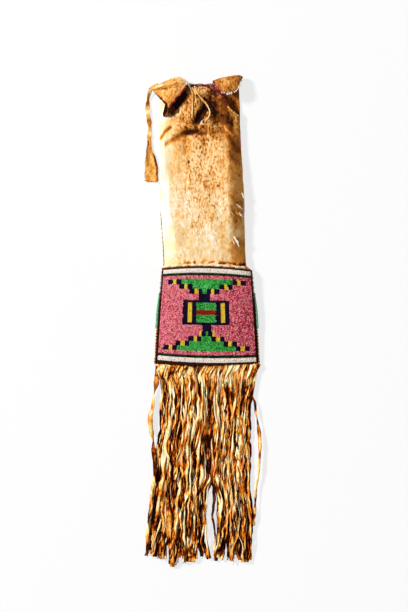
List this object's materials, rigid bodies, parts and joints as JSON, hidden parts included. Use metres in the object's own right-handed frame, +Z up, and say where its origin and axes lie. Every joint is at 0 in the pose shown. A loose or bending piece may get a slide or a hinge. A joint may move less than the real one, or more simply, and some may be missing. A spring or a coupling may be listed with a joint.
{
  "type": "beaded tobacco bag",
  "caption": "Long soft hide bag with a drawstring mouth, a beadwork panel with a stepped design at its lower end and a long cut hide fringe; it lies on its back.",
  "frame": {"origin": "on the resting plane, under the middle of the beadwork panel", "axes": "+Y along the bag towards its mouth, +X to the right as seen from the front, +Z up out of the beaded front"},
  "size_m": [0.2044, 0.8618, 0.0361],
  "materials": {
    "hide": "smoked brain-tanned hide, matt, stained and mottled",
    "fringe_hide": "cut hide thongs, darker with handling, matt",
    "pink_beads": "opaque glass seed beads, satin",
    "green_beads": "opaque glass seed beads, satin",
    "dark_blue_beads": "opaque glass seed beads, glossy",
    "yellow_beads": "opaque glass seed beads, satin",
    "red_beads": "glass seed beads, satin",
    "white_beads": "opaque glass seed beads, satin",
    "dark_green_beads": "glass seed beads, glossy",
    "teal_beads": "glass seed beads, glossy",
    "edging_beads": "glass seed beads, satin"
  },
  "bodies": {
    "root": {"hide_bag": "hide", "front_rim_edging": "edging_beads", "back_rim_edging": "edging_beads", "left_ear_edging": "edging_beads", "right_ear_edging": "edging_beads", "right_ear_white_edging": "white_beads", "drawstring": "hide", "drawstring_tail": "hide", "drawstring_tab": "hide", "neck_hem_lip": "hide", "upper_side_lace": "hide", "lower_side_lace": "hide", "upper_white_band": "white_beads", "upper_green_line": "dark_green_beads", "lower_green_line": "dark_green_beads", "lower_white_band": "white_beads", "navy_box": "dark_blue_beads", "left_yellow_bar": "yellow_beads", "right_yellow_bar": "yellow_beads", "upper_box_green": "green_beads", "box_red_bar": "red_beads", "lower_box_green": "green_beads", "upper_green_field": "green_beads", "lower_green_field": "green_beads", "left_upper_navy_step_1": "dark_blue_beads", "left_upper_yellow_step_1": "yellow_beads", "left_upper_navy_step_2": "dark_blue_beads", "left_upper_yellow_step_2": "yellow_beads", "left_upper_navy_step_3": "dark_blue_beads", "left_upper_yellow_step_3": "yellow_beads", "left_lower_navy_step_1": "dark_blue_beads", "left_lower_yellow_step_1": "yellow_beads", "left_lower_navy_step_2": "dark_blue_beads", "left_lower_yellow_step_2": "yellow_beads", "left_lower_navy_step_3": "dark_blue_beads", "left_lower_yellow_step_3": "yellow_beads", "left_lower_navy_step_4": "dark_blue_beads", "left_lower_yellow_step_4": "yellow_beads", "right_upper_navy_step_1": "dark_blue_beads", "right_upper_yellow_step_1": "yellow_beads", "right_upper_navy_step_2": "dark_blue_beads", "right_upper_yellow_step_2": "yellow_beads", "right_upper_navy_step_3": "dark_blue_beads", "right_upper_yellow_step_3": "yellow_beads", "right_lower_navy_step_1": "dark_blue_beads", "right_lower_yellow_step_1": "yellow_beads", "right_lower_navy_step_2": "dark_blue_beads", "right_lower_yellow_step_2": "yellow_beads", "right_lower_navy_step_3": "dark_blue_beads", "right_lower_yellow_step_3": "yellow_beads", "right_lower_navy_step_4": "dark_blue_beads", "right_lower_yellow_step_4": "yellow_beads", "pink_field": "pink_beads", "back_beadwork": "pink_beads", "left_green_edging": "teal_beads", "left_side_welt": "hide", "right_green_edging": "teal_beads", "right_side_welt": "hide", "front_fringe": "fringe_hide", "back_fringe": "fringe_hide"}
  },
  "joints": []
}
